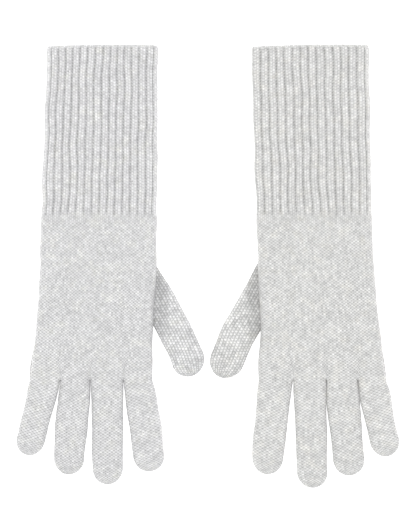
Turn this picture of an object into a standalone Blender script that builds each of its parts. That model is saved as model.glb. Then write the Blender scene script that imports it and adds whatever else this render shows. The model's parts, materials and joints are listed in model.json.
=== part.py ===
"""A pair of long knitted gloves with ribbed cuffs, laid side by side with the palms down.

Metres, +Z up. The surface they lie on is z = 0, the cuffs point to +Y and the fingers to -Y.
The right-hand glove lies at -X and the left-hand glove at +X, thumbs towards each other.
Each glove is a hollow knitted shell, split where the knit folds: at the wrist, at each finger's
root and middle, and at the thumb's root and middle. Every fold line lies on the palm side, where
the fabric creases, and the shells are cut back on the other side so that it also bends backwards.
"""

import math
from dataclasses import dataclass

import bmesh
import bpy
from mathutils import Vector

MM = 0.001

# Knitted fabric
PLAIN_WALL = 1.6 * MM
RIB_WALL = 2.2 * MM
GAP = 0.3 * MM
FOLD_BACK = math.radians(20)  # how far a fold line opens backwards
EDGE_POINTS = 7  # points round each side edge of a flattened tube, top and bottom included

# Lengths along a glove, from the line of the finger roots, which is y = 0 in a glove's own frame
HAND_LENGTH = 128.4 * MM
CUFF_LENGTH = 131.9 * MM
WELT_LENGTH = 4.0 * MM
HAND_MIDDLE_Y = 90.0 * MM

# Thicknesses of the lying tubes, palm to back
HAND_THICKNESS = 12.6 * MM
FINGER_THICKNESS = 10.0 * MM
THUMB_THICKNESS = 10.0 * MM

# Fingers, little to index
FINGER_NAMES = ("little", "ring", "middle", "index")
FINGER_LENGTHS = (61.4 * MM, 76.0 * MM, 82.6 * MM, 73.4 * MM)
FINGER_WIDTHS = (22.2 * MM, 24.6 * MM, 23.8 * MM, 24.6 * MM)
FINGER_MIDDLES = (28.5 * MM, 35.0 * MM, 38.0 * MM, 34.0 * MM)  # from the root line to the middle fold
CROTCH_GAP = 1.2 * MM  # between two fingers at their roots
FULL_WIDTH_AT = 16.0 * MM
TIP_ROUNDING = 12.5 * MM

# Thumb: a tube that leaves the hand's side through an opening along its edge
THUMB_WIDTH = 26.0 * MM
THUMB_MIDDLE = 22.0 * MM
THUMB_CLEARANCE = 1.2 * MM  # beside the hand's edge, at the thumb's crotch
THUMB_ROOT_REACH = 52.0 * MM  # how far the tube runs back from its root fold, into the hand
SIDE_OPENING_DEPTH = 2.6 * MM  # how far the hand's edge is cut away for the thumb
SIDE_OPENING_LENGTH = 49.0 * MM

# Yarn tacks that close the fabric between two fingers
TACK_WIDTH = 1.4 * MM
TACK_LENGTH = 2.6 * MM

THUMB_SPACE = 6.73 * MM  # between the two gloves' thumbs, as the pair lies


@dataclass(frozen=True)
class Lie:
    """How one glove lies. Edges are millimetres in x, where the thumb's side is positive, and
    angles are degrees towards the thumb's side."""

    cuff_mouth: tuple
    wrist: tuple
    hand_middle: tuple
    thumb_crotch: tuple
    knuckles: tuple
    root_ends: tuple  # the finger roots' ends along the root line, little to index
    leans: tuple
    curls: tuple  # how far each finger turns back from its lean by its tip
    thumb_crotch_y: float
    thumb_lean: float
    thumb_curl: float
    thumb_length: float


LIES = {
    "right": Lie(
        cuff_mouth=(-41.9, 43.9),
        wrist=(-46.4, 42.4),
        hand_middle=(-47.4, 41.9),
        thumb_crotch=(-50.3, 39.3),
        knuckles=(-54.9, 40.0),
        root_ends=(-54.9, -31.3, -7.5, 17.8, 40.0),
        leans=(-13.1, -4.8, 0.4, 10.4),
        curls=(0.0, 0.0, 0.0, 6.0),
        thumb_crotch_y=42.8,
        thumb_lean=28.5,
        thumb_curl=15.0,
        thumb_length=49.8,
    ),
    "left": Lie(
        cuff_mouth=(-41.6, 48.9),
        wrist=(-43.8, 45.0),
        hand_middle=(-45.7, 44.0),
        thumb_crotch=(-50.9, 42.6),
        knuckles=(-55.0, 43.8),
        root_ends=(-55.0, -33.2, -9.1, 17.3, 43.8),
        leans=(-11.8, -3.0, -1.4, 7.0),
        curls=(0.0, 5.0, 0.0, 2.0),
        thumb_crotch_y=36.6,
        thumb_lean=29.0,
        thumb_curl=15.0,
        thumb_length=44.4,
    ),
}

UP = Vector((0, 0, 1))


def collection(name):
    """A new collection in the scene."""
    made = bpy.data.collections.new(name)
    bpy.context.scene.collection.children.link(made)
    return made


def yarn(name, colour, roughness):
    """A matte yarn material."""
    made = bpy.data.materials.new(name)
    made.use_nodes = True
    shader = made.node_tree.nodes["Principled BSDF"]
    shader.inputs["Base Color"].default_value = (*colour, 1)
    shader.inputs["Roughness"].default_value = roughness
    shader.inputs["Metallic"].default_value = 0
    return made


def section(centre, across, half_width, thickness, floor=0.0):
    """Points round a flattened tube that rests at height floor: flat faces, and rounded edges."""
    edge = min(0.8 * half_width, thickness / 2)
    points = []
    for side in (1, -1):
        for k in range(EDGE_POINTS):
            angle = side * (k / (EDGE_POINTS - 1) - 0.5) * math.pi
            reach = side * (half_width - edge + edge * math.cos(angle))
            rise = (1 + math.sin(angle)) * thickness / 2
            points.append(centre + across * reach + UP * (floor + rise))
    return points


def loft(name, sections, closed_end=False):
    """A mesh through unlike sections, open at its first one, with a cap on its last if asked."""
    bm = bmesh.new()
    rings = [[bm.verts.new(p) for p in points] for points in sections]
    for first, second in zip(rings, rings[1:]):
        for k in range(len(first)):
            n = (k + 1) % len(first)
            bm.faces.new((first[k], first[n], second[n], second[k]))
    if closed_end:
        bm.faces.new(rings[-1])
    bmesh.ops.recalc_face_normals(bm, faces=bm.faces)
    if facing_inward(bm):
        bmesh.ops.reverse_faces(bm, faces=bm.faces)
    mesh = bpy.data.meshes.new(name)
    bm.to_mesh(mesh)
    bm.free()
    return mesh


def facing_inward(bm):
    """Whether a convex tube's faces point to its inside."""
    middle = sum((v.co for v in bm.verts), Vector()) / len(bm.verts)
    return sum(f.normal.dot(f.calc_center_median() - middle) for f in bm.faces) < 0


def fold(point, along):
    """The two planes of a fold line at point, as (point, outward normal): the end of the piece
    before it, and the start of the piece after it. along points from the first to the second."""
    half = FOLD_BACK / 2
    lean = UP * math.sin(half)
    before = (point - along * GAP / 2, along * math.cos(half) + lean)
    after = (point + along * GAP / 2, -along * math.cos(half) + lean)
    return before, after


def block(name, planes, size=0.6):
    """A large box cut back by planes, each given as (point on it, outward normal)."""
    bm = bmesh.new()
    bmesh.ops.create_cube(bm, size=size)
    for point, normal in planes:
        bmesh.ops.bisect_plane(
            bm,
            geom=bm.verts[:] + bm.edges[:] + bm.faces[:],
            plane_co=point,
            plane_no=normal,
            clear_outer=True,
        )
        bmesh.ops.holes_fill(bm, edges=[e for e in bm.edges if e.is_boundary])
    bmesh.ops.recalc_face_normals(bm, faces=bm.faces)
    mesh = bpy.data.meshes.new(name)
    bm.to_mesh(mesh)
    bm.free()
    return mesh


class Glove:
    """Builds one glove's objects under an empty. side is 1 where the thumb points to +X."""

    def __init__(self, hand, side, nodes, cutters, top, materials):
        self.hand = hand
        self.lie = LIES[hand]
        self.side = side
        self.nodes = nodes
        self.cutters = cutters
        self.materials = materials
        self.origins = {}
        self.root = self.empty("glove", Vector((0, 0, 0)), top)
        self.origins[self.root.name] = Vector((0, 0, 0))

    def empty(self, name, location, parent):
        """An empty on a fold line, which carries the pieces that turn about it."""
        made = bpy.data.objects.new(f"{self.hand}_{name}", None)
        made.empty_display_size = 0.01
        made.parent = parent
        made.location = location
        self.cutters.objects.link(made)
        return made

    def fold_empty(self, name, point, parent):
        """An empty at a point of the glove's own frame, under another of its empties."""
        made = self.empty(name, point - self.origins[parent.name], parent)
        self.origins[made.name] = point.copy()
        return made

    def point(self, x, y, z=0.0):
        """A point of the glove's own frame, mirrored for the other hand."""
        return Vector((self.side * x, y, z))

    def direction(self, lean):
        """The way a digit runs when it leans by an angle towards the thumb's side."""
        return self.point(math.sin(lean), -math.cos(lean))

    def add(self, name, mesh, parent, material, helper=False):
        """An object for a mesh whose points are in the glove's own frame."""
        made = bpy.data.objects.new(f"{self.hand}_{name}", mesh)
        for vertex in mesh.vertices:
            vertex.co -= self.origins[parent.name]
        made.parent = parent
        if helper:
            made.hide_render = True
            made.display_type = "WIRE"
            self.cutters.objects.link(made)
            return made
        made.data.materials.append(self.materials[material])
        self.nodes.objects.link(made)
        return made

    def shell(self, name, mesh, parent, material, wall, planes):
        """A knitted shell of one wall thickness, cut off at planes."""
        made = self.add(name, mesh, parent, material)
        thick = made.modifiers.new("wall", "SOLIDIFY")
        thick.thickness = wall
        thick.offset = -1
        thick.use_even_offset = True
        self.cut(made, parent, block(f"{made.name}_ends", planes), "INTERSECT")
        return made

    def cut(self, piece, parent, mesh, operation):
        """A Boolean on piece with a helper made from mesh."""
        count = len(piece.modifiers)
        helper = self.add(f"{piece.name}_cut_{count}", mesh, parent, None, helper=True)
        trim = piece.modifiers.new(f"cut_{count}", "BOOLEAN")
        trim.operation = operation
        trim.solver = "EXACT"
        trim.object = helper
        return helper

    def flat_tube(self, name, stations):
        """A loft along Y through stations of (y, edges in mm, thickness)."""
        sections = []
        for y, edges, thickness in stations:
            low, high = (edge * MM for edge in edges)
            centre = self.point((low + high) / 2, y)
            across = Vector((1, 0, 0))
            sections.append(section(centre, across, (high - low) / 2, thickness))
        return loft(name, sections)

    def cuff(self):
        """The ribbed cuff, and the rolled edge that its knitting starts with."""
        wrist = self.point(0, HAND_LENGTH)
        along = Vector((0, 1, 0))
        axis = self.fold_empty("wrist_fold", wrist, self.root)
        mouth = HAND_LENGTH + CUFF_LENGTH
        overrun = 10 * MM
        stations = (
            (HAND_LENGTH - overrun, self.lie.wrist, HAND_THICKNESS),
            (HAND_LENGTH, self.lie.wrist, HAND_THICKNESS),
            (mouth, self.lie.cuff_mouth, HAND_THICKNESS),
            (mouth + overrun, self.lie.cuff_mouth, HAND_THICKNESS),
        )
        start = fold(wrist, along)[1]
        edge = mouth - WELT_LENGTH
        self.shell(
            "ribbed_cuff",
            self.flat_tube("ribbed_cuff", stations),
            axis,
            "rib",
            RIB_WALL,
            (start, (Vector((0, edge, 0)), along)),
        )
        self.shell(
            "cuff_welt",
            self.flat_tube("cuff_welt", stations),
            axis,
            "rib",
            RIB_WALL,
            ((Vector((0, edge + GAP, 0)), -along), (Vector((0, mouth, 0)), along)),
        )

    def palm(self):
        """The plain knitted hand, open at the wrist, at the finger roots and at the thumb's side."""
        overrun = 6 * MM
        stations = (
            (-overrun, self.lie.knuckles, FINGER_THICKNESS),
            (0, self.lie.knuckles, FINGER_THICKNESS),
            (self.lie.thumb_crotch_y * MM, self.lie.thumb_crotch, HAND_THICKNESS),
            (HAND_MIDDLE_Y, self.lie.hand_middle, HAND_THICKNESS),
            (HAND_LENGTH, self.lie.wrist, HAND_THICKNESS),
            (HAND_LENGTH + overrun, self.lie.wrist, HAND_THICKNESS),
        )
        roots = fold(Vector((0, 0, 0)), Vector((0, -1, 0)))[0]
        wrist = fold(Vector((0, HAND_LENGTH, 0)), Vector((0, 1, 0)))[0]
        made = self.shell(
            "hand",
            self.flat_tube("hand", stations),
            self.root,
            "plain",
            PLAIN_WALL,
            (roots, wrist),
        )
        opening = block(f"{made.name}_thumb_opening", self.side_opening(0.0))
        self.cut(made, self.root, opening, "DIFFERENCE")

    def side_opening(self, clearance):
        """Planes round the thumb's opening in the hand's edge, drawn in by a clearance."""
        inner = self.lie.thumb_crotch[1] * MM - SIDE_OPENING_DEPTH + clearance
        low = self.lie.thumb_crotch_y * MM
        high = low + SIDE_OPENING_LENGTH
        return (
            (self.point(inner, 0), self.point(-1, 0)),
            (self.point(0, low + clearance), Vector((0, -1, 0))),
            (self.point(0, high - clearance), Vector((0, 1, 0))),
        )

    def digit_sections(self, start, lean, curl, length, widths, thickness, reach):
        """Sections along a digit from behind its root to its rounded tip.

        widths is (root width, full width), and reach is how far the tube runs behind its root.
        The centre line turns steadily by curl from its root to its tip."""
        root_width, full_width = widths
        straight = (-reach, 0.0, FULL_WIDTH_AT / 2, FULL_WIDTH_AT, length / 2)
        round_from = length - TIP_ROUNDING
        tip_angles = (0, 28, 48, 64, 76)
        dome = [round_from + TIP_ROUNDING * math.sin(math.radians(a)) for a in tip_angles]
        sections = []
        for s in (*straight, *dome):
            grow = min(max(s / FULL_WIDTH_AT, 0.0), 1.0)
            width = root_width + (full_width - root_width) * grow
            share = max(s - round_from, 0.0) / TIP_ROUNDING
            round_off = math.sqrt(max(1 - share * share, 0.0))
            height = thickness * (0.35 + 0.65 * round_off)
            centre, along = self.centre_line(start, lean, curl, length, s)
            across = UP.cross(along)
            floor = (thickness - height) * 0.3
            sections.append(section(centre, across, width / 2 * round_off, height, floor))
        return sections

    def centre_line(self, start, lean, curl, length, s):
        """Point and direction at distance s along a digit that turns by curl over its length."""
        turned = lean - curl * max(s, 0.0) / length
        mean = (lean + turned) / 2
        return start + self.direction(mean) * s, self.direction(turned)

    def digit(self, name, parts, start, root_along, lean, curl, sizes):
        """A digit in two parts that fold at its root and its middle.

        root_along is the way the root fold faces, and sizes is (length, distance of the middle
        fold, widths, thickness, reach)."""
        length, middle_at, widths, thickness, reach = sizes
        sections = self.digit_sections(start, lean, curl, length, widths, thickness, reach)
        root_axis = self.fold_empty(f"{name}_root_fold", start, self.root)
        middle, along = self.centre_line(start, lean, curl, length, middle_at)
        middle_axis = self.fold_empty(f"{name}_middle_fold", middle, root_axis)
        before_middle, after_middle = fold(middle, along)
        after_root = fold(start, root_along)[1]
        planes = ((after_root, before_middle), (after_middle,))
        for part, axis, ends in zip(parts, (root_axis, middle_axis), planes):
            full = f"{name}_{part}"
            mesh = loft(full, sections, closed_end=True)
            self.shell(full, mesh, axis, "plain", PLAIN_WALL, ends)
        return sections

    def fingers(self):
        """The four fingers, which share one straight root line."""
        for i, name in enumerate(FINGER_NAMES):
            low, high = self.lie.root_ends[i] * MM, self.lie.root_ends[i + 1] * MM
            start = self.point((low + high) / 2, 0)
            lean = math.radians(self.lie.leans[i])
            curl = math.radians(self.lie.curls[i])
            root_width = (high - low - CROTCH_GAP) * math.cos(lean)
            widths = (root_width, FINGER_WIDTHS[i])
            sizes = (FINGER_LENGTHS[i], FINGER_MIDDLES[i], widths, FINGER_THICKNESS, 8 * MM)
            self.digit(name, ("lower", "tip"), start, Vector((0, -1, 0)), lean, curl, sizes)

    def thumb(self):
        """The thumb: a gusset fixed in the hand's side, and two parts that fold."""
        edge = self.lie.thumb_crotch[1] * MM + THUMB_CLEARANCE
        lean = math.radians(self.lie.thumb_lean)
        curl = math.radians(self.lie.thumb_curl)
        length = self.lie.thumb_length * MM
        across = self.point(math.cos(lean), math.sin(lean))
        start = self.point(edge, self.lie.thumb_crotch_y * MM) + across * (THUMB_WIDTH / 2)
        along = self.direction(lean)
        widths = (THUMB_WIDTH, THUMB_WIDTH)
        sizes = (length, THUMB_MIDDLE, widths, THUMB_THICKNESS, THUMB_ROOT_REACH)
        sections = self.digit("thumb", ("lower", "tip"), start, along, lean, curl, sizes)
        ends = (fold(start, along)[0], *self.side_opening(GAP))
        mesh = loft("thumb_gusset", sections, closed_end=True)
        self.shell("thumb_gusset", mesh, self.root, "plain", PLAIN_WALL, ends)
        reach = max(self.side * p.x for points in sections for p in points)
        self.root.location.x = -self.side * (reach + THUMB_SPACE / 2)

    def tacks(self):
        """Short yarn bars between the palm and the back, one between each two fingers."""
        wall = PLAIN_WALL + GAP
        height = FINGER_THICKNESS - 2 * wall
        cut_back = FINGER_THICKNESS * math.tan(FOLD_BACK / 2)
        y = cut_back + 2 * GAP + TACK_LENGTH / 2
        for i, name in enumerate(("little_ring", "ring_middle", "middle_index")):
            low = self.point(self.lie.root_ends[i + 1] * MM, y, wall)
            bm = bmesh.new()
            bmesh.ops.create_cone(
                bm,
                cap_ends=True,
                segments=10,
                radius1=TACK_WIDTH / 2,
                radius2=TACK_WIDTH / 2,
                depth=height,
            )
            for v in bm.verts:
                v.co.y *= TACK_LENGTH / TACK_WIDTH
                v.co += low + UP * height / 2
            mesh = bpy.data.meshes.new(f"crotch_tack_{name}")
            bm.to_mesh(mesh)
            bm.free()
            self.add(f"crotch_tack_{name}", mesh, self.root, "tack")

    def build(self):
        """Everything in this glove."""
        self.cuff()
        self.palm()
        self.fingers()
        self.thumb()
        self.tacks()


def centre_on_origin(top, objects):
    """Moves the pair so that the middle of its box is over the origin. Heights stay as they are."""
    bpy.context.view_layer.update()
    graph = bpy.context.evaluated_depsgraph_get()
    points = []
    for obj in objects:
        seen = obj.evaluated_get(graph)
        mesh = seen.to_mesh()
        points += [seen.matrix_world @ v.co for v in mesh.vertices]
        seen.to_mesh_clear()
    for axis in (0, 1):
        values = [p[axis] for p in points]
        top.location[axis] -= (min(values) + max(values)) / 2
    bpy.context.view_layer.update()


def main():
    for obj in list(bpy.data.objects):
        bpy.data.objects.remove(obj)
    nodes = collection("knitted_gloves")
    cutters = collection("cutters")
    materials = {
        "plain": yarn("plain_knit", (0.72, 0.72, 0.71), 0.95),
        "rib": yarn("ribbed_knit", (0.70, 0.70, 0.69), 0.95),
        "tack": yarn("tack_yarn", (0.62, 0.62, 0.61), 0.9),
    }
    top = bpy.data.objects.new("gloves_centre", None)
    cutters.objects.link(top)
    for hand, side in (("right", 1), ("left", -1)):
        Glove(hand, side, nodes, cutters, top, materials).build()
    centre_on_origin(top, nodes.objects)


main()
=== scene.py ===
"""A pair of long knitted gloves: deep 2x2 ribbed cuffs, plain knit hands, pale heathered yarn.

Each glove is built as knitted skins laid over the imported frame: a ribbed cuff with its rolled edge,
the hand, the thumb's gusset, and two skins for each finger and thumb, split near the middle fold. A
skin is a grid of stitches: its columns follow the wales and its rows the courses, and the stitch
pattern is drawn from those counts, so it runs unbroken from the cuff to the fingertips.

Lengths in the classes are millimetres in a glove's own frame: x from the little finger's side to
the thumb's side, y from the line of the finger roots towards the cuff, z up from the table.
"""

import json
import logging
import math
from dataclasses import dataclass, field
from enum import Enum
from typing import Any, Iterator

import bpy
import numpy as np
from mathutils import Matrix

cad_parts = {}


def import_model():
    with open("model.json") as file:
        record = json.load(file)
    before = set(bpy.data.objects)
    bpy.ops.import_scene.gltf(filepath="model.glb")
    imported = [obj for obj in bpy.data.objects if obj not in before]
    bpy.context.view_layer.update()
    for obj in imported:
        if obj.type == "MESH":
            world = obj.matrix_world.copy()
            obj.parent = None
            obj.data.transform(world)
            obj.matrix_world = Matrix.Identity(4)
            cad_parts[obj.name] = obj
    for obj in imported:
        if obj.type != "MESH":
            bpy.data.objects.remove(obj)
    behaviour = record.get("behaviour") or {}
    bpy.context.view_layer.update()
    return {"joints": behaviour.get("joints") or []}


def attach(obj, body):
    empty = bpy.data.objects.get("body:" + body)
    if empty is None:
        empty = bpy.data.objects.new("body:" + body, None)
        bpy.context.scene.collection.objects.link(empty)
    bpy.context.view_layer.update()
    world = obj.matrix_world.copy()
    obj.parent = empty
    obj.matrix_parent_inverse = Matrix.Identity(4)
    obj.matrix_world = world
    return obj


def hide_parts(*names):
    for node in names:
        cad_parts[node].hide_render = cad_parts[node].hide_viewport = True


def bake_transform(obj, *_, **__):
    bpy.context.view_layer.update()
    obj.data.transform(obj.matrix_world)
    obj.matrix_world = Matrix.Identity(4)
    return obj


LOG = logging.getLogger("knitted_gloves")

MM = 0.001
STITCH_MAP = "stitches"  # a UV layer that counts wales in u and courses in v
# the attribute holds painted shade: the material darkens the fabric by it where one fold lies under
# another
TUCK_SHADE_MAP = "tucked"  # a point attribute, 1 where fabric is pressed under another fold
WALE_MM = 1.55
COURSE_MM = 1.15
RIBS_FROM_MM = 126.5  # from the finger roots to where the ribs begin

Array = np.ndarray
Material = bpy.types.Material
Mesh = bpy.types.Mesh
Node = bpy.types.Node
Piece = bpy.types.Object
Socket = bpy.types.NodeSocket
Tree = bpy.types.NodeTree
Point = tuple[float, float, float]


class Hand(Enum):
    """Which hand a glove is knitted for."""

    RIGHT = "right"
    LEFT = "left"

    @property
    def side(self) -> int:
        """1 where the thumb points to +X as the glove lies, and -1 where it points to -X."""
        return 1 if self is Hand.RIGHT else -1


class Fabric(Enum):
    """How a skin is knitted, named by the record's material slot for it."""

    PLAIN = "plain_knit"
    RIB = "rib_knit"
    WELT = "welt_knit"
    TACK = "tack_yarn"


def linear(hex_colour: str) -> tuple[float, float, float, float]:
    """Turn an sRGB hex colour into linear RGBA.

    Args:
        hex_colour: Six hex digits, with or without a leading hash.

    Returns:
        Linear red, green and blue, and an alpha of 1.
    """
    digits = hex_colour.lstrip("#")
    channels = [int(digits[i : i + 2], 16) / 255 for i in (0, 2, 4)]
    r, g, b = (c / 12.92 if c <= 0.04045 else ((c + 0.055) / 1.055) ** 2.4 for c in channels)
    return (r, g, b, 1.0)


def add_node(
    tree: Tree, kind: str, inputs: dict[int | str, Any] | None = None, **settings: Any
) -> Node:
    """Add a node with its settings, its values and its links.

    Args:
        tree: The node tree to add to.
        kind: The node's type name, without the ShaderNode in front.
        inputs: For each input, by place or name, a value to set, an output to link, or a node
            whose first output is linked.
        settings: Attribute values of the node.

    Returns:
        The new node.
    """
    node = tree.nodes.new(f"ShaderNode{kind}")
    for name, value in settings.items():
        setattr(node, name, value)
    for key, value in (inputs or {}).items():
        if isinstance(value, Node):
            value = value.outputs[0]
        if isinstance(value, Socket):
            tree.links.new(value, node.inputs[key])
        else:
            node.inputs[key].default_value = value
    return node


def smooth(t: Array | float) -> Array:
    """Ease from 0 to 1 over t from 0 to 1, with level ends."""
    t = np.clip(t, 0.0, 1.0)
    return t * t * (3 - 2 * t)


def rise(distance: Array, edge: Array | float) -> Array:
    """How high a folded edge has risen, 0 to 1, at a distance in from the fold."""
    near = 1 - np.clip(distance / edge, 0.0, 1.0)
    return np.sqrt(np.clip(1 - near * near, 0.0, 1.0))


def across_face(share: Array, width: Array | float, edge: Array | float) -> Array:
    """Place evenly knitted wales across one face of a flattened tube.

    Args:
        share: Share of the face's wales, 0 to 1.
        width: The face's width as it lies.
        edge: How far in from each fold the face curves over.

    Returns:
        Distances across the face from its first fold.
    """
    narrow = 0.49  # of the width, so that the two folds don't meet
    edge = np.minimum(edge, narrow * np.asarray(width, float))
    arc = edge * math.pi / 2
    total = width - 2 * edge + 2 * arc
    s = share * total
    first = edge * (1 - np.cos(np.clip(s / arc, 0, 1) * math.pi / 2))
    last = width - edge * (1 - np.cos(np.clip((total - s) / arc, 0, 1) * math.pi / 2))
    return np.where(s < arc, first, np.where(s > total - arc, last, edge + s - arc))


def curve_through(places: tuple[float, ...], values: tuple[float, ...], at: Array) -> Array:
    """Read a smooth curve through values given at rising places.

    Args:
        places: Where the values are given.
        values: The values there.
        at: Where to read the curve.

    Returns:
        The curve's values, held level past its ends.
    """
    x, y = np.asarray(places, float), np.asarray(values, float)
    slope = np.gradient(y, x)
    at = np.clip(at, x[0], x[-1])
    k = np.clip(np.searchsorted(x, at, side="right") - 1, 0, len(x) - 2)
    gap = x[k + 1] - x[k]
    t = (at - x[k]) / gap
    rising = t * t * (3 - 2 * t)
    bend = gap * (slope[k] * t * (1 - t) ** 2 - slope[k + 1] * t * t * (1 - t))
    return y[k] + (y[k + 1] - y[k]) * rising + bend


class Waver:
    """Smooth, seeded unevenness: a sum of slow waves over two coordinates."""

    SPREAD = (0.7, 1.6)  # how far the waves' lengths differ from the typical one

    def __init__(self, seed: int, length_mm: float, waves: int = 9) -> None:
        """Draw the waves.

        Args:
            seed: The random seed.
            length_mm: The typical length of a wave.
            waves: How many waves are summed.
        """
        rng = np.random.default_rng(seed)
        turn = rng.uniform(0, 2 * math.pi, waves)
        rate = 2 * math.pi / (length_mm * rng.uniform(*self.SPREAD, waves))
        self.kx, self.ky = rate * np.cos(turn), rate * np.sin(turn)
        self.phase = rng.uniform(0, 2 * math.pi, waves)
        self.scale = 1 / math.sqrt(waves / 2)

    def at(self, x: Array, y: Array) -> Array:
        """Read the unevenness at points.

        Args:
            x: Places on the first coordinate.
            y: Places on the second.

        Returns:
            The unevenness there, mostly between -1 and 1.
        """
        total = np.zeros(np.broadcast(x, y).shape)
        for kx, ky, phase in zip(self.kx, self.ky, self.phase):
            total += np.sin(kx * x + ky * y + phase)
        return total * self.scale


@dataclass
class SkinGrid:
    """A grid of points with wale and course counts, which becomes a knitted skin.

    Columns run round the tube and the last one joins the first.

    Attributes:
        points: Rows by columns by 3, in metres of the row's frame.
        wales: The wale count at each row and column, with one more column than points.
        courses: The course count there, of the same shape.
        rows_wrapped: Whether the last row joins the first; the counts then have one more row.
        capped: Whether the last row is closed with a fan of faces.
        tucked: Painted shade at each point, 0 to 1, as rows by columns, where it lies under another
            fold.
    """

    points: Array
    wales: Array
    courses: Array
    rows_wrapped: bool = False
    capped: bool = False
    tucked: Array | None = None

    def faces(self) -> tuple[Array, Array]:
        """List the quads.

        Returns:
            The quads' vertex numbers, and their corners' places in the stitch counts.
        """
        rows, cols = self.points.shape[:2]
        last = rows if self.rows_wrapped else rows - 1
        r, c = (a.ravel() for a in np.meshgrid(np.arange(last), np.arange(cols), indexing="ij"))
        up, on = (r + 1) % rows, (c + 1) % cols
        quads = np.stack([r * cols + c, r * cols + on, up * cols + on, up * cols + c], 1)
        wide = self.wales.shape[1]
        corners = (r * wide + c, r * wide + c + 1, (r + 1) * wide + c + 1, (r + 1) * wide + c)
        return quads, np.stack(corners, 1)

    def faces_in(self, quads: Array) -> bool:
        """Tell which way the skin faces.

        Args:
            quads: The quads' vertex numbers.

        Returns:
            Whether the quads of the first half face the middle of their own row.
        """
        cols = self.points.shape[1]
        some = quads[: max(len(quads) // 2, cols)]
        flat = self.points.reshape(-1, 3)
        middles = self.points.mean(1)[some[:, 0] // cols]
        a, b, c = (flat[some[:, k]] for k in (0, 1, 2))
        return float((np.cross(b - a, c - a) * (a - middles)).sum()) < 0

    def cap(self, quads: Array, counts: Array) -> tuple[Array, Array, Array]:
        """Close the last row to a point.

        Args:
            quads: The quads, which give the way round.
            counts: The stitch counts, as rows by columns by 2.

        Returns:
            The middle point, and the fan's vertex numbers and stitch counts.
        """
        rows, cols = self.points.shape[:2]
        ring = np.arange(cols) + (rows - 1) * cols
        fan = np.stack([ring, np.roll(ring, -1), np.full(cols, rows * cols)], 1)
        low, high = counts[-1, :-1], counts[-1, 1:]
        at = np.stack([low, high, (low + high) / 2 + (0.0, 1.0)], 1)
        if self.faces_in(quads):
            fan, at = fan[:, ::-1], at[:, ::-1]
        return self.points[-1].mean(0), fan, at

    def mesh(self, name: str) -> Mesh:
        """Build the mesh, faces outwards, with a UV layer that holds the stitch counts.

        Args:
            name: The mesh's name.

        Returns:
            The mesh.
        """
        quads, corners = self.faces()
        counts = np.stack([self.wales, self.courses], 2)
        vertices = self.points.reshape(-1, 3)
        fan, fan_counts = np.zeros((0, 3), int), np.zeros((0, 3, 2))
        if self.capped:
            middle, fan, fan_counts = self.cap(quads, counts)
            vertices = np.vstack([vertices, middle])
        if self.faces_in(quads):
            quads, corners = quads[:, ::-1], corners[:, ::-1]
        uv = np.vstack([counts.reshape(-1, 2)[corners.ravel()], fan_counts.reshape(-1, 2)])
        made = bpy.data.meshes.new(name)
        made.from_pydata(vertices.tolist(), [], quads.tolist() + fan.tolist())
        layer = made.uv_layers.new(name=STITCH_MAP)
        layer.data.foreach_set("uv", uv.astype(np.float32).ravel())
        made.polygons.foreach_set("use_smooth", np.ones(len(made.polygons), bool))
        values = np.zeros(len(vertices), np.float32)
        # the painted shade, where a skin has any
        if self.tucked is not None:
            values[: self.tucked.size] = self.tucked.ravel()
        made.attributes.new(TUCK_SHADE_MAP, "FLOAT", "POINT").data.foreach_set("value", values)
        made.update()
        return made


def ring_of(across: Array, lift: Array, floor: Array, height: Array) -> tuple[Array, Array]:
    """Join the top and the bottom face of a flattened tube into rings.

    Args:
        across: Rows by face columns: places across the tube, from fold to fold.
        lift: How far each has risen from the fold, 0 to 1.
        floor: The height that the tube rests at.
        height: The tube's thickness.

    Returns:
        Places across and heights, as rows by ring columns.
    """
    top = floor + height / 2 * (1 + lift)
    bottom = floor + height / 2 * (1 - lift)
    around = np.concatenate([across, across[:, -2:0:-1]], 1)
    return around, np.concatenate([top, bottom[:, -2:0:-1]], 1)


@dataclass(frozen=True)
class Lie:
    """How one glove lies: pairs are x of its two edges, and angles are degrees to the thumb."""

    hand: Hand
    seed: int  # draws the cloth's unevenness
    cuff_mouth: tuple[float, float]
    wrist: tuple[float, float]
    hand_middle: tuple[float, float]
    thumb_crotch: tuple[float, float]
    knuckles: tuple[float, float]
    root_ends: tuple[float, ...]
    leans: tuple[float, ...]
    curls: tuple[float, ...]
    mouth_tilt: float  # how much further the cuff reaches at its thumb's side than in its middle
    finger_lengths: tuple[float, ...]
    fullness: tuple[float, ...]  # how much wider each finger lies below its root
    finger_wales: tuple[int, ...]  # on one face, little to index
    thumb_crotch_y: float
    thumb_lean: float
    thumb_length: float
    thumb_width: float
    thumb_gap: float  # between the hand's edge and the thumb's root
    thumb_curl: float
    gusset_slim: float  # how much narrower the thumb's gusset is at its far end
    hand_length: float = 128.4
    cuff_length: float = 131.9
    hand_middle_y: float = 90.0

    @property
    def face_wales(self) -> int:
        """The wales on one face of the hand."""
        return sum(self.finger_wales)

    @property
    def mouth_y(self) -> float:
        """Where the cuff ends."""
        return self.hand_length + self.cuff_length

    def edges(self, y: Array) -> tuple[Array, Array]:
        """Find the two edges of the lying tube.

        Args:
            y: Places along the glove.

        Returns:
            The little finger's side edge and the thumb's side edge.
        """
        places = (0.0, self.thumb_crotch_y, self.hand_middle_y, self.hand_length, self.mouth_y)
        pairs = (self.knuckles, self.thumb_crotch, self.hand_middle, self.wrist, self.cuff_mouth)
        low, high = zip(*pairs)
        return curve_through(places, low, y), curve_through(places, high, y)


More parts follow.
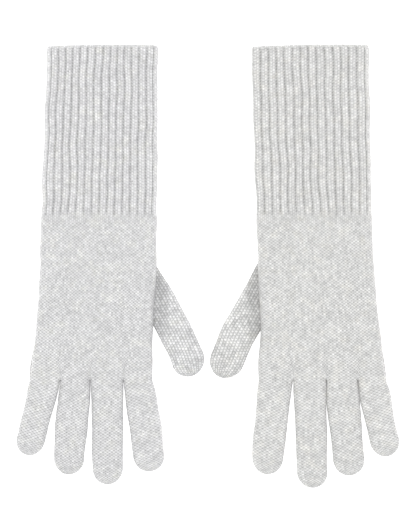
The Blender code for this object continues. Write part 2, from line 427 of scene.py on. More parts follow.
RIGHT_LIE = Lie(
    hand=Hand.RIGHT,
    seed=11,
    cuff_mouth=(-41.5, 45.0),
    wrist=(-45.9, 44.0),
    hand_middle=(-47.0, 43.6),
    thumb_crotch=(-49.9, 40.9),
    knuckles=(-54.9, 40.2),
    root_ends=(-54.9, -31.3, -7.5, 17.8, 40.2),
    leans=(-13.1, -4.8, 0.4, 10.4),
    curls=(0.0, 0.0, 0.0, 5.0),
    mouth_tilt=0.4,
    finger_lengths=(59.8, 73.6, 81.0, 71.6),
    fullness=(1.2, 1.2, 0.9, 0.9),
    finger_wales=(15, 17, 17, 15),
    thumb_crotch_y=42.3,
    thumb_lean=28.5,
    thumb_length=49.6,
    thumb_width=26.6,
    thumb_gap=-0.3,
    thumb_curl=9.2,
    gusset_slim=2.4,
)
LEFT_LIE = Lie(
    hand=Hand.LEFT,
    seed=47,
    cuff_mouth=(-41.6, 49.8),
    wrist=(-44.3, 45.6),
    hand_middle=(-45.7, 44.0),
    thumb_crotch=(-50.9, 42.6),
    knuckles=(-55.0, 43.8),
    root_ends=(-55.0, -33.2, -9.1, 16.7, 43.8),
    leans=(-11.8, -3.0, -1.4, 7.0),
    curls=(0.0, 5.0, 0.0, 2.0),
    mouth_tilt=-0.7,
    finger_lengths=(60.5, 74.4, 83.8, 73.6),
    fullness=(2.0, 2.0, 1.2, 2.6),
    finger_wales=(14, 16, 16, 16),
    thumb_crotch_y=36.6,
    thumb_lean=29.0,
    thumb_length=45.0,
    thumb_width=27.2,
    thumb_gap=0.8,
    thumb_curl=10.2,
    gusset_slim=0.0,
)


@dataclass
class Lay:
    """Puts a glove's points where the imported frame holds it, with the softness of lying cloth.

    Attributes:
        lie: How the glove lies.
        origin: The glove's own origin, in metres of the row's frame.
        sag: How far the top faces swell and sink.
        broad_share: The share of the swell that is in its broad waves.
        wander: How far the wales stray sideways.
        thickness: The glove's full thickness, where the swell is fullest.
        wave_lengths: The lengths of the broad swell, the fine swell and the wales' straying.
    """

    lie: Lie
    origin: tuple[float, float]
    sag: float = 0.34
    broad_share: float = 0.7
    wander: float = 0.3
    thickness: float = 12.6
    wave_lengths: tuple[float, ...] = (26.0, 9.0, 34.0)
    waves: list[Waver] = field(init=False)

    def __post_init__(self) -> None:
        """Draw this glove's unevenness."""
        self.waves = [Waver(self.lie.seed + k, size) for k, size in enumerate(self.wave_lengths)]

    @classmethod
    def from_joints(cls, lie: Lie, joints: list[dict[str, Any]]) -> "Lay":
        """Find the glove's origin: its wrist fold gives x, and its finger roots give y.

        Args:
            lie: How the glove lies.
            joints: The frame's joints.

        Returns:
            The lay of that glove.
        """
        places = {j["name"]: j["pos_m"] for j in joints if "pos_m" in j}
        hand = lie.hand.value
        return cls(lie, (places[f"{hand}_wrist_fold"][0], places[f"{hand}_middle_root_fold"][1]))

    @property
    def hand(self) -> str:
        """The hand's name, which every piece's name and body start with."""
        return self.lie.hand.value

    def world(self, local: Array) -> Array:
        """Turn millimetres of the glove's own frame into metres of the row's frame."""
        out = np.asarray(local, float) * MM * np.array([self.lie.hand.side, 1, 1])
        return out + np.array([self.origin[0], self.origin[1], 0.0])

    def point(self, x: float, y: float, z: float = 0.0) -> Point:
        """One such point."""
        px, py, pz = (float(v) for v in self.world(np.array([x, y, z])))
        return (px, py, pz)

    def settle(self, local: Array) -> Array:
        """Add the cloth's unevenness to points and put them in the row's frame.

        Args:
            local: Points in the glove's own frame.

        Returns:
            The points in metres of the row's frame.
        """
        x, y, z = (local[..., k] for k in range(3))
        broad, fine, sideways = self.waves
        high = np.clip(z / self.thickness, 0, 1) ** 2
        out = local.copy()
        swell = self.broad_share * broad.at(x, y) + (1 - self.broad_share) * fine.at(x, y)
        out[..., 2] += self.sag * high * swell
        out[..., 0] += self.wander * sideways.at(x, y)
        return self.world(out)


@dataclass
class Skin:
    """One knitted piece: its grid, its name, its fabric and its finish."""

    name: str
    grid: SkinGrid
    fabric: Fabric
    material: Material

    def build(self, *nodes: str) -> Piece:
        """Make the object that stands for CAD nodes.

        Args:
            nodes: The CAD nodes that it replaces.

        Returns:
            The object, which the caller may set to ride on a body.
        """
        made = bpy.data.objects.new(self.name, self.grid.mesh(self.name))
        bpy.context.scene.collection.objects.link(made)
        made.data.materials.append(self.material)
        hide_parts(*nodes)
        LOG.info("%s: %d faces", self.name, len(made.data.polygons))
        return made


@dataclass(frozen=True)
class HeatherYarn:
    """Combed cashmere-like yarn, spun from white, grey and a few dark fibres, then knitted.

    The undyed mix gives a pale grey that is mottled at every scale, and the raised fibres give a
    dry, chalky surface with a soft pale rim. Between the legs of each V-shaped stitch is a small
    dark hole, and the holes of neighbouring wales make a fine diagonal lattice.

    Attributes:
        name: The material's name.
        seed: Where this glove's mottling is read from, so that the two gloves differ.
        pale: The lightest fibres.
        warmth: The colour that the warmer patches turn to.
        fleck: The few dark fibres.
        relief_mm: How far a stitch's yarn stands out of the fabric.
        drawn_courses: How many courses one drawn stitch covers.
        slant: How far the legs of a drawn stitch lean, as a share of its height.
        hole_shade: How much darker the hole in a stitch is, 0 to 1.
        line_shade: How much darker the line between two wales is, 0 to 1.
        stitch_mix: How much lighter or darker each leg of a stitch may be spun.
        streak_mix: How much lighter or darker stretches of one wale are.
        mottles: Sizes of the yarn's patches in millimetres, with how much each varies.
        groove_shade: Painted shade in the sunk purl wales of a rib: how much darker they are made, 0
            to 1.
        rib_line: How much darker the line down a rib's middle is.
        rib_painted_light: Painted light: how much lighter the yarn is made over the ribbed cuff, to
            make up for its darker grooves.
        tucked_shade: Painted shade: how much darker the fabric is made where it lies pressed under
            another fold.
        lightness: How light the yarn is as knitted into this part, where 1 is as spun.
        sheen: How strongly the raised fibres catch light at a grazing view.
        roughness: The fibres' roughness.
    """

    name: str
    seed: float
    pale: str
    warmth: str
    fleck: str = "#77777A"
    relief_mm: float = 0.45
    drawn_courses: float = 2.0  # one course is too fine to show, so each stitch is drawn two tall
    slant: float = 0.25
    hole_shade: float = 0.47
    hole_from: float = -0.2  # the height of the stitches' wave, -1 to 1, where a hole opens
    line_shade: float = 0.2
    line_reach: float = 0.32  # how far into a wale its line fades, in wales
    stitch_mix: float = 0.08
    streak_mix: float = 0.09
    streak_scale: float = 2.7
    streak_courses: float = 0.12  # streaks are long, so a course counts far less than a wale
    mottles: tuple[tuple[float, float], ...] = ((7.0, 0.05), (2.6, 0.05), (0.5, 0.15))
    mottle_detail: float = 2.0
    mottle_grain: float = 0.6
    noise_span: tuple[float, float] = (0.3, 0.7)  # where most of a noise's values lie
    warm_span: tuple[float, float] = (0.5, 0.75)
    fleck_scale: float = 0.77  # flecks of about a millimetre
    fleck_grain: float = 0.4
    fleck_span: tuple[float, float] = (0.735, 0.78)
    fleck_mix: float = 0.7
    groove_shade: float = 0.0
    groove_span: tuple[float, float] = (0.2, 1.1)  # wales from a groove's middle to its bank
    rib_line: float = 0.16
    rib_line_from: float = 1.5  # wales from a groove's middle
    rib_painted_light: float = 1.1
    rib_fade: float = 4.0  # the courses over which the ribs begin
    loop_edge: float = 0.8  # how sharply the purl loops are drawn
    loop_shade: float = 0.25  # the share of a groove's shade that is left on its loops
    tucked_shade: float = 0.24
    lightness: float = 1.0
    fibre_relief: float = 0.12
    specular: float = 0.2
    sheen: float = 0.35
    sheen_roughness: float = 0.45
    roughness: float = 0.92

    def stitches(self, tree: Tree, wales: Socket, courses: Socket) -> tuple[Node, Node]:
        """Draw the V of each stitch from the stitch counts.

        Args:
            tree: The material's nodes.
            wales: The wale count.
            courses: The course count.

        Returns:
            Nodes for the stitch's lightness, 1 on its yarn, and for its own random value.
        """
        half = 0.5  # the middle of a wale, and half a stitch
        wale = add_node(tree, "Math", {0: wales}, operation="FLOOR")
        across = add_node(tree, "Math", {0: wales, 1: half}, operation="PINGPONG")
        to_middle = {0: across, 1: 0.0, 2: half}
        middle = add_node(tree, "MapRange", to_middle, interpolation_type="SMOOTHSTEP")
        staggered = add_node(tree, "Math", {0: wale, 1: half}, operation="MULTIPLY")
        tall = {0: courses, 1: 1 / self.drawn_courses, 2: staggered}
        drawn = add_node(tree, "Math", tall, operation="MULTIPLY_ADD")
        lean = {0: middle, 1: -self.slant, 2: drawn}
        leaned = add_node(tree, "Math", lean, operation="MULTIPLY_ADD")
        turn = add_node(tree, "Math", {0: leaned, 1: 2 * math.pi}, operation="MULTIPLY")
        wave = add_node(tree, "Math", {0: turn}, operation="COSINE")
        opened = add_node(tree, "MapRange", {0: wave, 1: self.hole_from, 2: 1.0})
        hole = add_node(tree, "Math", {0: opened, 1: middle}, operation="MULTIPLY")
        line = {0: across, 1: 0.0, 2: self.line_reach, 3: 1 - self.line_shade, 4: 1.0}
        yarn = add_node(tree, "MapRange", line)
        shaded = {0: hole, 1: -self.hole_shade, 2: yarn}
        tone = add_node(tree, "Math", shaded, operation="MULTIPLY_ADD")
        own = add_node(tree, "Math", {0: leaned}, operation="FLOOR")
        cell = add_node(tree, "CombineXYZ", {0: wale, 1: own, 2: self.seed})
        return tone, add_node(tree, "TexWhiteNoise", {0: cell}, noise_dimensions="3D")

    def ribbing(self, tree: Tree, wales: Socket, courses: Socket) -> Node:
        """Paint shade into the sunk wales of each rib, broken by the loops that lie across them, and
        darken the rib's middle line.

        Args:
            tree: The material's nodes.
            wales: The wale count.
            courses: The course count.

        Returns:
            A node for a factor on the yarn's lightness, which is 1 where the fabric is plain.
        """
        middle = 2.0  # wales from a groove's middle to the rib's
        low, high = self.groove_span
        off = add_node(tree, "Math", {0: wales, 1: middle}, operation="PINGPONG")
        lined = {0: off, 1: self.rib_line_from, 2: middle, 4: self.rib_line}
        line = add_node(tree, "MapRange", lined)
        # painted shade in the groove, deepest at its middle
        groove = add_node(tree, "MapRange", {0: off, 1: low, 2: high, 3: self.groove_shade, 4: 0.0})
        both = add_node(tree, "Math", {0: line, 1: groove}, operation="ADD")
        pace = {0: courses, 1: 2 * math.pi / self.drawn_courses}
        turn = add_node(tree, "Math", pace, operation="MULTIPLY")
        wave = add_node(tree, "Math", {0: turn}, operation="COSINE")
        looped = {0: wave, 1: -self.loop_edge, 2: self.loop_edge, 3: self.loop_shade, 4: 1.0}
        loops = add_node(tree, "MapRange", looped)
        depth = add_node(tree, "Math", {0: both, 1: loops}, operation="MULTIPLY")
        # painted light over the whole ribbed cuff, less the painted shade in its grooves
        raised = {0: self.rib_painted_light - 1, 1: depth}
        change = add_node(tree, "Math", raised, operation="SUBTRACT")
        start = -RIBS_FROM_MM / COURSE_MM
        ribbed = add_node(tree, "MapRange", {0: courses, 1: start, 2: start - self.rib_fade})
        return add_node(tree, "Math", {0: change, 1: ribbed, 2: 1.0}, operation="MULTIPLY_ADD")

    def spread(self, source: Node, mix: float) -> dict[int, Any]:
        """Inputs that turn a noise into a factor, which differs from 1 by up to mix."""
        return {0: source, 1: self.noise_span[0], 2: self.noise_span[1], 3: 1 - mix, 4: 1 + mix}

    def material(self) -> Material:
        """Make the material.

        Returns:
            A material that needs the stitch counts as a UV layer.
        """
        made = bpy.data.materials.new(self.name)
        made.use_nodes = True
        tree = made.node_tree
        counts = add_node(tree, "UVMap", uv_map=STITCH_MAP)
        wales, courses = add_node(tree, "SeparateXYZ", {0: counts}).outputs[:2]
        stitch, random = self.stitches(tree, wales, courses)
        across = add_node(tree, "Math", {0: wales, 1: WALE_MM}, operation="MULTIPLY")
        along = add_node(tree, "Math", {0: courses, 1: COURSE_MM}, operation="MULTIPLY")
        place = add_node(tree, "CombineXYZ", {0: across, 1: along, 2: self.seed})

        # painted shade where the fabric lies under another fold, darkest next to that fold's edge
        tucked = add_node(tree, "Attribute", attribute_name=TUCK_SHADE_MAP).outputs["Fac"]
        open_to_fold_shade = {0: tucked, 3: self.lightness, 4: self.lightness - self.tucked_shade}
        spun = {0: random, 3: 1 - self.stitch_mix, 4: 1 + self.stitch_mix}
        shades = [add_node(tree, "MapRange", open_to_fold_shade), add_node(tree, "MapRange", spun)]
        # the ribs' painted light and their grooves' painted shade
        if self.groove_shade:
            shades.append(self.ribbing(tree, wales, courses))
        wale = add_node(tree, "Math", {0: wales}, operation="FLOOR")
        stretch = add_node(tree, "Math", {0: courses, 1: self.streak_courses}, operation="MULTIPLY")
        streak = add_node(tree, "CombineXYZ", {0: wale, 1: stretch, 2: self.seed})
        look = {"Vector": streak, "Scale": self.streak_scale, "Detail": 0.0}
        uneven = add_node(tree, "TexNoise", look)
        shades.append(add_node(tree, "MapRange", self.spread(uneven, self.streak_mix)))
        patches = []
        for size, mix in self.mottles:
            look = {"Vector": place, "Scale": 1 / size, "Detail": self.mottle_detail}
            patches.append(add_node(tree, "TexNoise", look | {"Roughness": self.mottle_grain}))
            shades.append(add_node(tree, "MapRange", self.spread(patches[-1], mix)))
        tone = stitch
        for shade in shades:
            tone = add_node(tree, "Math", {0: tone, 1: shade}, operation="MULTIPLY")

        low, high = self.warm_span
        warm = add_node(tree, "MapRange", {0: patches[0], 1: low, 2: high})
        blend = {0: warm, 6: linear(self.pale), 7: linear(self.warmth)}
        ground = add_node(tree, "Mix", blend, data_type="RGBA").outputs[2]
        yarn = add_node(tree, "VectorMath", {0: ground, "Scale": tone}, operation="SCALE")
        look = {"Vector": place, "Scale": self.fleck_scale, "Roughness": self.fleck_grain}
        specks = add_node(tree, "TexNoise", look)
        low, high = self.fleck_span
        dark = add_node(tree, "MapRange", {0: specks, 1: low, 2: high, 3: 0.0, 4: self.fleck_mix})
        blend = {0: dark, 6: yarn, 7: linear(self.fleck)}
        colour = add_node(tree, "Mix", blend, data_type="RGBA")
        fuzz = {0: patches[-1], 1: self.fibre_relief, 2: stitch}
        height = add_node(tree, "Math", fuzz, operation="MULTIPLY_ADD")
        stand = self.relief_mm * MM / self.hole_shade
        bump = add_node(tree, "Bump", {"Strength": 1.0, "Distance": stand, "Height": height})
        shader = tree.nodes["Principled BSDF"]
        tree.links.new(colour.outputs[2], shader.inputs["Base Color"])
        tree.links.new(bump.outputs[0], shader.inputs["Normal"])
        shader.inputs["Roughness"].default_value = self.roughness
        shader.inputs["Specular IOR Level"].default_value = self.specular
        shader.inputs["Sheen Weight"].default_value = self.sheen
        shader.inputs["Sheen Roughness"].default_value = self.sheen_roughness
        return made


@dataclass(frozen=True)
class LitAcrylic:
    """Opal acrylic light table: matte white, and lit from beneath, so shadows on it wash out."""

    name: str = "lit_opal_acrylic"
    colour: str = "#DCDCDC"
    bright: str = "#FFFFFF"
    dim: str = "#FCFCFC"
    glow: float = 1.0
    roughness: float = 0.8
    cloud_mm: float = 60.0

    def material(self) -> Material:
        """Make the acrylic, whose glow is very slightly uneven.

        Returns:
            The material.
        """
        made = bpy.data.materials.new(self.name)
        made.use_nodes = True
        tree = made.node_tree
        place = add_node(tree, "TexCoord").outputs["Object"]
        cloud = add_node(tree, "TexNoise", {"Vector": place, "Scale": 1 / (self.cloud_mm * MM)})
        blend = {0: cloud, 6: linear(self.bright), 7: linear(self.dim)}
        glow = add_node(tree, "Mix", blend, data_type="RGBA")
        shader = tree.nodes["Principled BSDF"]
        tree.links.new(glow.outputs[2], shader.inputs["Emission Color"])
        shader.inputs["Emission Strength"].default_value = self.glow
        shader.inputs["Base Color"].default_value = linear(self.colour)
        shader.inputs["Roughness"].default_value = self.roughness
        return made


@dataclass
class HandTube:
    """The flat tube that the hand and the cuff share: where its wales lie and how high it is."""

    lie: Lie
    thickness: float = 12.6
    root_thickness: float = 10.0
    edge: float = 4.6
    root_edge: float = 3.6
    valley: float = 5.0  # how far the valley between two fingers runs into the hand
    gathering: float = 26.0  # over what length the wales gather into the fingers

    def wale_places(self, face_columns: int, y: Array) -> Array:
        """Where the columns of a face lie.

        Args:
            face_columns: The number of spaces between columns from fold to fold.
            y: Places along the glove, as a column of rows.

        Returns:
            x as rows by columns.
        """
        share = np.linspace(0, 1, face_columns + 1)
        low, high = self.lie.edges(y)
        even = low + across_face(share, high - low, self.edge_at(y))
        apart = smooth(y / self.gathering)
        return self.root_places(share) * (1 - apart) + even * apart

    def root_places(self, share: Array) -> Array:
        """Where the wales lie along the root line, gathered into four fingers.

        Args:
            share: Share of the face's wales, 0 to 1.

        Returns:
            x of each on the root line.
        """
        counts = np.cumsum((0, *self.lie.finger_wales)) / self.lie.face_wales
        out, slack = np.zeros_like(share), 1e-9
        for i, (low, high) in enumerate(zip(self.lie.root_ends, self.lie.root_ends[1:])):
            inside = (share >= counts[i] - slack) & (share <= counts[i + 1] + slack)
            own = (share[inside] - counts[i]) / (counts[i + 1] - counts[i])
            out[inside] = low + across_face(np.clip(own, 0, 1), high - low, self.root_edge)
        return out

    def edge_at(self, y: Array) -> Array:
        """How far in from the folds the faces curve over at y."""
        return self.root_edge + (self.edge - self.root_edge) * smooth(y / self.gathering)

    def height_at(self, y: Array) -> Array:
        """The tube's thickness at y."""
        grown = smooth(y / self.lie.thumb_crotch_y)
        return self.root_thickness + (self.thickness - self.root_thickness) * grown

    def lift(self, x: Array, y: Array) -> Array:
        """How far the faces have risen from the fold's height, with valleys between the fingers.

        Args:
            x: Places across the glove.
            y: Places along it.

        Returns:
            The rise there, 0 to 1.
        """
        low, high = self.lie.edges(y)
        out = rise(np.minimum(x - low, high - x), self.edge_at(y))
        for crotch in self.lie.root_ends[1:-1]:
            away = np.hypot(x - crotch, np.maximum(y, 0) * self.root_edge / self.valley)
            out = out * rise(away, self.root_edge)
        return out

    def top(self, x: float, y: float) -> float:
        """The height of the top face at a point."""
        lift = self.lift(np.array([x]), np.array([y]))
        return float(self.height_at(np.array([y]))[0] / 2 * (1 + lift[0]))

    def rings(self, face_columns: int, y: Array) -> Array:
        """The tube's points at places along it.

        Args:
            face_columns: The number of spaces between columns from fold to fold.
            y: Places along the glove.

        Returns:
            Points as rows by ring columns by 3.
        """
        y = np.asarray(y, float)[:, None]
        x = self.wale_places(face_columns, y)
        around, z = ring_of(x, self.lift(x, y), np.zeros_like(y), self.height_at(y))
        return np.stack([around, np.broadcast_to(y, around.shape), z], 2)


@dataclass
class HandSkin:
    """The plain knitted hand, from below the wrist to the root line of the fingers."""

    lay: Lay
    tube: HandTube
    material: Material
    top_y: float = 122.4
    columns_per_wale: int = 2

    def build(self) -> Piece:
        """Knit the hand.

        Returns:
            The hand, which rides on the hand's body.
        """
        hand = self.lay.hand
        y = np.linspace(self.top_y, 0, round(self.top_y / COURSE_MM) + 1)
        face = self.lay.lie.face_wales * self.columns_per_wale
        points = self.lay.settle(self.tube.rings(face, y))
        count = np.arange(2 * face + 1) / self.columns_per_wale
        wales, courses = np.broadcast_arrays(count[None, :], -y[:, None] / COURSE_MM)
        grid = SkinGrid(points, wales, courses)
        made = Skin(f"{hand}_hand_skin", grid, Fabric.PLAIN, self.material).build(f"{hand}_hand")
        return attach(made, f"{hand}_hand_body")


@dataclass
class RibbedCuff:
    """The long cuff in 2x2 rib, with its inside, and the rolled edge at its mouth."""

    lay: Lay
    tube: HandTube
    material: Material
    edge_material: Material
    start_y: float = 122.4
    bend_from: float = 122.4
    bend_to: float = 134.4
    columns_per_wale: int = 3
    wales_per_rib: int = 4
    raised: float = 0.7  # share of a rib's width that its two raised wales take
    depth: float = 1.8
    lobe: float = 0.28  # how far the line between the two raised wales sinks
    wall: float = 2.5
    ribs_from: float = RIBS_FROM_MM
    ribs_full: float = 131.0
    corner: float = 3.2
    bow: float = 0.9  # how much higher the middle of the mouth is than its ends
    roll: float = 1.35
    roll_proud: float = 0.15  # how far the rolled edge stands out past the cuff's wall
    roll_depth: float = 0.45  # how much of a rib's depth still shows in the rolled edge
    roll_steps: int = 12
    roll_courses: float = 7.0
    inside_to: float = 150.0
    inside_rows: int = 11
    inside_depth: float = 0.25  # how much of a rib's depth shows on the inside
    flank: float = 0.13  # share of a rib's width over which it sinks
    line_width: float = 0.07
    corner_pull: float = 0.8
    corner_limit: float = 0.97  # how far round its corner the rounded mouth goes
    tilt_over: float = 60.0  # the length over which the courses bow towards the mouth

    @property
    def face_columns(self) -> int:
        """The spaces between columns from fold to fold."""
        return self.lay.lie.face_wales * self.columns_per_wale

    @property
    def rib_places(self) -> Array:
        """Where each column round the cuff lies, counted in ribs from a rib's start."""
        per_rib = self.wales_per_rib * self.columns_per_wale
        return np.arange(2 * self.face_columns + 1) / per_rib + (1 + self.raised) / 2

    def profile(self, phase: Array) -> Array:
        """The cross-section of the ribs.

        Args:
            phase: Places within a rib, 0 to 1.

        Returns:
            How far the fabric has sunk there below the top of a rib, 0 to 1.
        """
        into = smooth((phase - self.raised) / self.flank + 0.5)
        out = smooth((1 - phase) / self.flank + 0.5)
        sunk = into * out + smooth(0.5 - phase / self.flank)
        line = np.exp(-(((phase - self.raised / 2) / self.line_width) ** 2))
        return np.clip(sunk + line * self.lobe / self.depth, 0, 1)

    def rib_counts(self) -> Array:
        """Wale counts round the cuff where the ribs are full: raised wales wide, sunk ones narrow.

        Returns:
            A count for each column, 0 in the middle of the groove at the first fold.
        """
        part, whole = np.modf(self.rib_places)
        half = self.wales_per_rib / 2
        groove = 1.5 * half  # from a rib's start to the middle of its groove
        up = part / self.raised * half
        down = half + (part - self.raised) / (1 - self.raised) * half
        return whole * self.wales_per_rib + np.where(part < self.raised, up, down) - groove

    def ribbing(self, y: Array) -> Array:
        """How full the ribs are at y, 0 to 1."""
        return smooth((y - self.ribs_from) / (self.ribs_full - self.ribs_from))

    def rings(self, y: Array, sink: Array, inset: Array) -> Array:
        """The cuff's points.

        Args:
            y: Places along the glove.
            sink: How deep the ribs' grooves are in each row.
            inset: How far in from the outside each row is.

        Returns:
            Points as rows by ring columns by 3.
        """
        points = self.tube.rings(self.face_columns, y)
        mouth = self.lay.lie.mouth_y
        over = np.clip((y - (mouth - self.corner)) / self.corner, 0, self.corner_limit)
        pull = self.corner * (1 - np.sqrt(1 - over * over)) * self.corner_pull
        middle = (points[..., 0].max(1) + points[..., 0].min(1)) / 2
        half = (points[..., 0].max(1) - points[..., 0].min(1)) / 2
        share = (points[..., 0] - middle[:, None]) / half[:, None]
        points[..., 0] = middle[:, None] + share * (half - pull)[:, None]
        lifted = smooth((y - mouth) / self.tilt_over + 1)
        slant = self.lay.lie.mouth_tilt * share - self.bow * share**2
        points[..., 1] += slant * lifted[:, None]
        ahead, behind = np.roll(points, -1, 1), np.roll(points, 1, 1)
        tangent = (ahead - behind)[..., [0, 2]]
        tangent /= np.linalg.norm(tangent, axis=2, keepdims=True) + 1e-9
        ribs = self.profile(np.modf(self.rib_places[:-1])[0])
        sunk = sink[:, None] * ribs[None, :] + inset[:, None]
        points[..., 0] += tangent[..., 1] * sunk
        points[..., 2] -= tangent[..., 0] * sunk
        return points

    def skin(self) -> Piece:
        """Knit the cuff: up its outside, over at the mouth, and back down its inside.

        Returns:
            The cuff.
        """
        lie, hand = self.lay.lie, self.lay.hand
        last = lie.mouth_y - self.roll
        outside = np.linspace(self.start_y, last, round((last - self.start_y) / COURSE_MM) + 1)
        inside = np.linspace(last, self.inside_to, self.inside_rows)
        y = np.concatenate([outside, inside])
        inner = np.concatenate([np.zeros(len(outside)), np.ones(len(inside))])
        sink = self.ribbing(y) * self.depth * (1 - (1 - self.inside_depth) * inner)
        points = self.lay.settle(self.rings(y, sink, self.wall * inner))
        plain = np.arange(2 * self.face_columns + 1) / self.columns_per_wale
        full = self.ribbing(y)[:, None]
        wales = plain[None, :] * (1 - full) + self.rib_counts()[None, :] * full
        travelled = np.concatenate([-outside, -2 * last + inside]) / COURSE_MM
        courses = np.broadcast_to(travelled[:, None], wales.shape)
        made = Skin(
            f"{hand}_cuff_skin", SkinGrid(points, wales, courses), Fabric.RIB, self.material
        ).build(f"{hand}_ribbed_cuff")
        start = self.lay.point(0, self.bend_from)
        end = self.lay.point(0, self.bend_to)
        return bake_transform(made)

    def rolled_edge(self) -> Piece:
        """Knit the edge that the cuff starts with: a plain roll of fabric round the mouth.

        Returns:
            The edge, which rides on the cuff's body.
        """
        hand = self.lay.hand
        y = np.array([self.lay.lie.mouth_y - self.roll])
        sink = np.array([self.roll_depth * self.depth])
        path = self.rings(y, sink, np.array([self.wall / 2]))[0]
        outer = self.rings(y, sink, np.array([0.0]))[0]
        outward = outer - path
        outward[:, 1] = 0
        outward /= np.linalg.norm(outward, axis=1, keepdims=True)
        angle = np.linspace(0, 2 * math.pi, self.roll_steps, endpoint=False)
        along = np.array([0.0, 1.0, 0.0])
        thick = self.wall / 2 + self.roll_proud
        reach = thick * np.cos(angle)[None, :, None] * outward[:, None, :]
        up = self.roll * np.sin(angle)[None, :, None] * along
        points = self.lay.settle(path[:, None, :] + reach + up)
        count = np.arange(len(path) + 1) / self.columns_per_wale
        turned = np.linspace(0, self.roll_courses, self.roll_steps + 1)
        courses, wales = np.meshgrid(turned, count)
        grid = SkinGrid(points, wales, courses, rows_wrapped=True)
        made = Skin(
            f"{hand}_cuff_edge", grid, Fabric.WELT, self.edge_material
        ).build(f"{hand}_cuff_welt")
        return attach(made, f"{hand}_cuff_body")

    def build(self) -> None:
        """Knit the cuff and its edge."""
        self.skin()
        self.rolled_edge()


